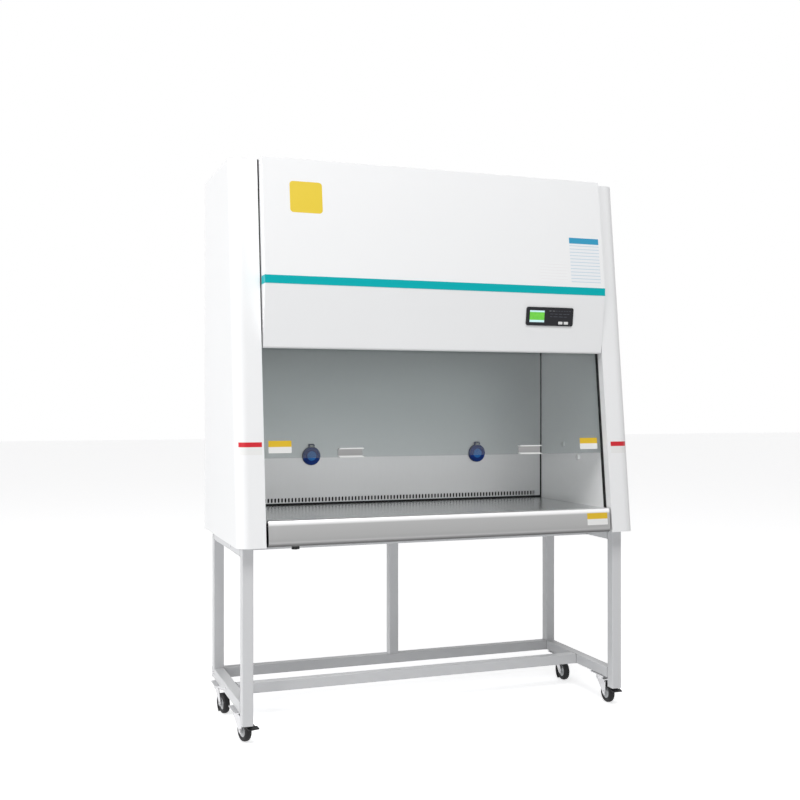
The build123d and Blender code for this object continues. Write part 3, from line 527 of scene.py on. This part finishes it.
display = {
    "x": 421.5,
    "drop": 84.0,
    "thickness": 4.0,
    "screenTop": 1481.5,     # heights of the green field's two edges
    "screenFoot": 1453.0,
    "iconRows": ((21.0, ((-2, 9), (12, 10), (25, 7), (36, 7), (47, 7), (58, 7), (69, 7), (80, 7))),
                 (10.0, ((2, 14), (20, 14), (38, 14), (56, 14), (72, 10))),
                 (0.0, ((2, 10), (16, 18), (38, 18), (60, 12)))),
    "iconHeight": 2.4,
}
faceDown = Vector((
    0, casing["panelFootY"] - casing["panelNoseY"], casing["panelFoot"] - casing["bandFoot"])).normalized()
faceOut = Vector((0, faceDown.z, -faceDown.y))
displayCentre = Vector((display["x"], casing["panelNoseY"], casing["bandFoot"])) + faceDown * display["drop"]

screenGlow = Finish(
    "screenGlow", Roughness=0.15, Emission_Strength=0.35, Coat_Weight=0.3, Coat_Roughness=0.05)
screenHeight = screenGlow.axis(2)
greenShade = screenGlow.mix(screenGlow.noise(90.0, 2.0), (0.06, 0.40, 0.02), (0.16, 0.58, 0.04))
bands = (screenHeight.above(display["screenTop"] * mm, 0.0012)
         + (1 - screenHeight.above(display["screenFoot"] * mm, 0.0012)))
screenColour = screenGlow.mix(bands, greenShade, (0.50, 0.72, 0.74))
screenGlow.put("Base Color", screenColour)
screenGlow.put("Emission Color", screenColour)
dressNode("display_screen", screenGlow.material)

iconGrey = plastic("iconGrey", (0.16, 0.17, 0.18), 0.4, 0.0)
iconDim = plastic("iconDim", (0.05, 0.055, 0.07), 0.4, 0.0)
for row, (rise, marks) in enumerate(display["iconRows"]):
    for column, (offset, width) in enumerate(marks):
        mark = plate(width * mm, display["iconHeight"] * mm, 0.1 * mm, 0.6 * mm, 3)
        centre = displayCentre + Vector((offset + width / 2 - 2, 0, 0)) - faceDown * rise
        centre = centre + faceOut * display["thickness"]
        settle(mark, onSurface(centre * mm, (1, 0, 0), faceOut))
        bright = row == 0 and column < 2
        named(mark, f"displayMark{row}{column}", iconGrey if bright else iconDim, "front_panel")
print("display marked")

# ---- socket lids: a lighter boss, a navy rim and a grey hinge ear

socketLid = {"x": {"left": -351.0, "right": 351.0}, "z": 942.0, "bossRadius": 18.5, "rimRadius": 33.6}

for side, x in socketLid["x"].items():
    lid = Finish(f"socketLid_{side}", Roughness=0.42, Specular_IOR_Level=0.15)
    across = lid.axis(0) - x * mm
    up = lid.axis(2) - socketLid["z"] * mm
    reach = lid.maths("SQRT", across * across + up * up)
    beyondBoss = reach.above(socketLid["bossRadius"] * mm, 0.0004)
    beyondRim = reach.above(socketLid["rimRadius"] * mm, 0.0003)
    disc = lid.mix(beyondBoss, (0.03, 0.19, 0.58), (0.004, 0.035, 0.22))
    lid.put("Base Color", lid.mix(beyondRim, disc, (0.42, 0.43, 0.43)))
    dressNode(f"socket_lid_{side}", lid.material)

# ---- caster wheels: black tread round a grey centre

casters = {
    "front_left": {"x": -710.0, "y": -154.0, "heading": 13.9},
    "front_right": {"x": 710.0, "y": -154.0, "heading": -1.0},
    "rear_left": {"x": -710.0, "y": 198.0, "heading": 8.0},
    "rear_right": {"x": 710.0, "y": 198.0, "heading": -1.0},
}
casterTrail = 38.0
axleHeight = 37.5
rimRadius = 21.8

# outlines as (along the axle, out from it); the tyre's flank is round and the hub stands proud
wheelHalf = ((13.2, 4.4), (13.2, 8.2), (12.4, 9.0), (7.0, 10.2), (6.0, 12.0), (6.0, 17.0), (8.2, 19.2),
             (9.0, 21.6), (10.4, 23.0), (11.7, 25.4), (12.2, 28.4), (11.8, 31.4), (10.6, 34.0), (8.2, 36.1),
             (4.4, 37.2), (0.0, 37.5))
wheelProfile = wheelHalf + tuple((-along, out) for along, out in reversed(wheelHalf[:-1]))
# outline of a black arc over each rear wheel, inside the fork, with its start and sweep in degrees
blackArcProfile = ((-13.0, 40.0), (13.0, 40.0), (13.0, 46.0), (-13.0, 46.0))
blackArcSweep = {"start": -52.0, "sweep": 90.0}


def turned(profile, sweep, steps):
    # an outline in the XZ plane swept round the X axis
    deselect()
    bpy.ops.mesh.primitive_circle_add(vertices=len(profile), radius=1)
    piece = bpy.context.active_object
    for point, (along, out) in zip(piece.data.vertices, profile):
        point.co = (along * mm, 0, out * mm)
    bpy.ops.object.mode_set(mode="EDIT")
    bpy.ops.mesh.select_all(action="SELECT")
    bpy.ops.mesh.spin(steps=steps, angle=math.radians(sweep), center=(0, 0, 0), axis=(1, 0, 0))
    bpy.ops.mesh.select_all(action="SELECT")
    bpy.ops.mesh.remove_doubles(threshold=0.00001)
    if sweep < 360:
        bpy.ops.mesh.fill_holes(sides=0)
    bpy.ops.mesh.select_all(action="SELECT")
    bpy.ops.mesh.normals_make_consistent(inside=False)
    leaveEdit()
    bpy.ops.object.shade_smooth_by_angle(angle=math.radians(40))
    return piece


for name, facts in casters.items():
    turn = math.radians(facts["heading"])
    axle = Vector((math.cos(turn), math.sin(turn), 0))
    swivel = Vector((facts["x"], facts["y"], axleHeight))
    centre = swivel + casterTrail * Vector((math.sin(turn), -math.cos(turn), 0))
    tread = Finish(f"casterWheel_{name}", Specular_IOR_Level=0.35)
    arm = tread.node("ShaderNodeVectorMath", {"operation": "SUBTRACT"}, {0: tread.place(), 1: centre * mm})
    moment = tread.node("ShaderNodeVectorMath", {"operation": "CROSS_PRODUCT"}, {0: arm, 1: axle})
    reach = tread.node("ShaderNodeVectorMath", {"operation": "LENGTH"}, {0: moment}, 1)
    rubber = reach.above(rimRadius * mm, 0.0002)
    tread.put("Base Color", tread.mix(rubber, (0.52, 0.53, 0.54), (0.010, 0.010, 0.011)))
    tread.put("Roughness", 0.36 + 0.24 * rubber + 0.08 * tread.noise(120.0, 2.0))
    placement = Matrix.Translation(centre * mm) @ Matrix.Rotation(turn, 4, "Z")
    wheel = turned(wheelProfile, 360.0, 96)
    settle(wheel, placement)
    named(wheel, f"casterWheel_{name}", tread.material, f"wheel_{name}")
    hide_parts(f"wheel_{name}")
    # the rear casters get a black arc over the wheel, inside the fork
    if name.startswith("rear"):
        blackArc = turned(blackArcProfile, blackArcSweep["sweep"], 20)
        settle(blackArc, placement @ Matrix.Rotation(math.radians(blackArcSweep["start"]), 4, "X"))
        named(blackArc, f"wheelBlackArc_{name}", blackPlastic, f"caster_{name}")
print("casters dressed")

# ---- weld lines where the stand's tubes meet

seam = {"proud": 0.25, "length": 0.9, "setback": 0.1}
seamPaint = plastic("seamPaint", (0.10, 0.10, 0.105), 0.6)

for name in nodes:
    if not name.startswith(("lower_rail", "upper_rail")):
        continue
    low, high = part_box(name)
    size = [high[index] - low[index] for index in range(3)]
    long = size.index(max(size))
    for end, inward in ((low[long], 1), (high[long], -1)):
        middle = [(low[index] + high[index]) / 2 for index in range(3)]
        middle[long] = end + inward * (seam["setback"] + seam["length"] / 2) * mm
        deselect()
        bpy.ops.mesh.primitive_cube_add(size=1, location=middle)
        ring = bpy.context.active_object
        ring.scale = [seam["length"] * mm if index == long else size[index] + 2 * seam["proud"] * mm
                      for index in range(3)]
        settle(ring)
        named(ring, f"seam_{name}_{'low' if inward > 0 else 'high'}", seamPaint, "cabinet")
print("seams placed")

# ---- rail bolts

railBolt = {
    "headRadius": 5.5,
    "headHeight": 3.2,
    "washerRadius": 7.5,
    "washerHeight": 0.8,
    "faceX": 724.0,
    "places": ((272.0, 648.0), (-58.0, 648.0), (275.0, 124.0), (31.0, 124.0)),   # Y and Z
}


def boltPiece():
    # a domed head on a washer, standing on the XY plane
    deselect()
    bpy.ops.mesh.primitive_cylinder_add(
        vertices=32, radius=railBolt["washerRadius"] * mm, depth=railBolt["washerHeight"] * mm,
        location=(0, 0, railBolt["washerHeight"] / 2 * mm))
    piece = bpy.context.active_object
    settle(piece)
    top = railBolt["washerHeight"] * mm
    pick(piece, "FACE", lambda face: face.normal.z > 0.9)
    bpy.ops.mesh.inset(thickness=(railBolt["washerRadius"] - railBolt["headRadius"]) * mm)
    bpy.ops.mesh.extrude_region_move(TRANSFORM_OT_translate={"value": (0, 0, railBolt["headHeight"] * mm)})
    leaveEdit()
    highest = top + railBolt["headHeight"] * mm
    pick(piece, "EDGE", lambda edge: all(abs(end.co.z - highest) < 1e-6 for end in edge.verts))
    bpy.ops.mesh.bevel(offset=1.6 * mm, segments=4)
    leaveEdit()
    bpy.ops.object.shade_smooth_by_angle(angle=math.radians(35))
    return piece


pattern = boltPiece()
for sign in (-1, 1):
    for index, (y, z) in enumerate(railBolt["places"]):
        bolt = pattern.copy()
        bolt.data = pattern.data.copy()
        bpy.context.scene.collection.objects.link(bolt)
        settle(bolt, onSurface(atMillimetres(sign * railBolt["faceX"], y, z), (0, sign, 0), (sign, 0, 0)))
        named(bolt, f"railBolt{'Left' if sign < 0 else 'Right'}{index}", zincPlate, "cabinet")
bpy.data.objects.remove(pattern)
print("bolts placed")

# ---- stage: floor, world, lamps and camera

deselect()
bpy.ops.mesh.primitive_plane_add(size=60, location=(0, 0, 0))
floor = bpy.context.active_object
floor.name = "floor"
floorPaint = Finish("floorPaint", Base_Color=(0.82, 0.82, 0.83), Roughness=0.9, Emission_Color=(1, 1, 1))
paths = floorPaint.tree.nodes.new("ShaderNodeLightPath")
seen = floorPaint.maths("MAXIMUM", Wire(floorPaint, paths.outputs["Is Camera Ray"]),
                        floorPaint.maths("MAXIMUM", Wire(floorPaint, paths.outputs["Is Glossy Ray"]),
                                         Wire(floorPaint, paths.outputs["Is Transmission Ray"])))
floorPaint.put("Emission Strength", seen * 0.62)
floor.data.materials.append(floorPaint.material)

scene = bpy.context.scene
world = bpy.data.worlds.new("studio")
scene.world = world
world.use_nodes = True
tree = world.node_tree
background = tree.nodes["Background"]
light = tree.nodes.new("ShaderNodeLightPath")
either = tree.nodes.new("ShaderNodeMath")
either.operation = "MAXIMUM"
seenRay = tree.nodes.new("ShaderNodeMath")
seenRay.operation = "MAXIMUM"
strength = tree.nodes.new("ShaderNodeMapRange")
tree.links.new(light.outputs["Is Camera Ray"], either.inputs[0])
tree.links.new(light.outputs["Is Glossy Ray"], either.inputs[1])
tree.links.new(either.outputs[0], seenRay.inputs[0])
tree.links.new(light.outputs["Is Transmission Ray"], seenRay.inputs[1])
tree.links.new(seenRay.outputs[0], strength.inputs["Value"])
strength.inputs["To Min"].default_value = 0.30
strength.inputs["To Max"].default_value = 1.0
tree.links.new(strength.outputs["Result"], background.inputs["Strength"])
background.inputs["Color"].default_value = (1, 1, 1, 1)

lamps = {
    "keyLamp": {"place": (-6.0, -0.3, 3.2), "size": 2.6, "watts": 180.0},
    "overheadLamp": {"place": (-0.6, -4.0, 6.0), "size": 2.5, "watts": 220.0},
    "lowLamp": {"place": (-3.4, -4.6, 0.95), "size": 1.2, "watts": 30.0},
}
for name, facts in lamps.items():
    bpy.ops.object.light_add(type="AREA", location=facts["place"])
    lamp = bpy.context.active_object
    lamp.name = name
    lamp.data.size = facts["size"]
    lamp.data.energy = facts["watts"]
    lamp.rotation_euler = (Vector((0, 0, 1.1)) - Vector(facts["place"])).to_track_quat("-Z", "Y").to_euler()

view = {"place": (-1.4397, -3.7832, 1.1486), "pitch": 90.149, "heading": -19.9, "lens": 48.06}
bpy.ops.object.camera_add(location=view["place"],
                          rotation=(math.radians(view["pitch"]), 0, math.radians(view["heading"])))
camera = bpy.context.active_object
camera.data.lens = view["lens"]
camera.data.sensor_width = 36
scene.camera = camera
scene.view_settings.view_transform = "Standard"
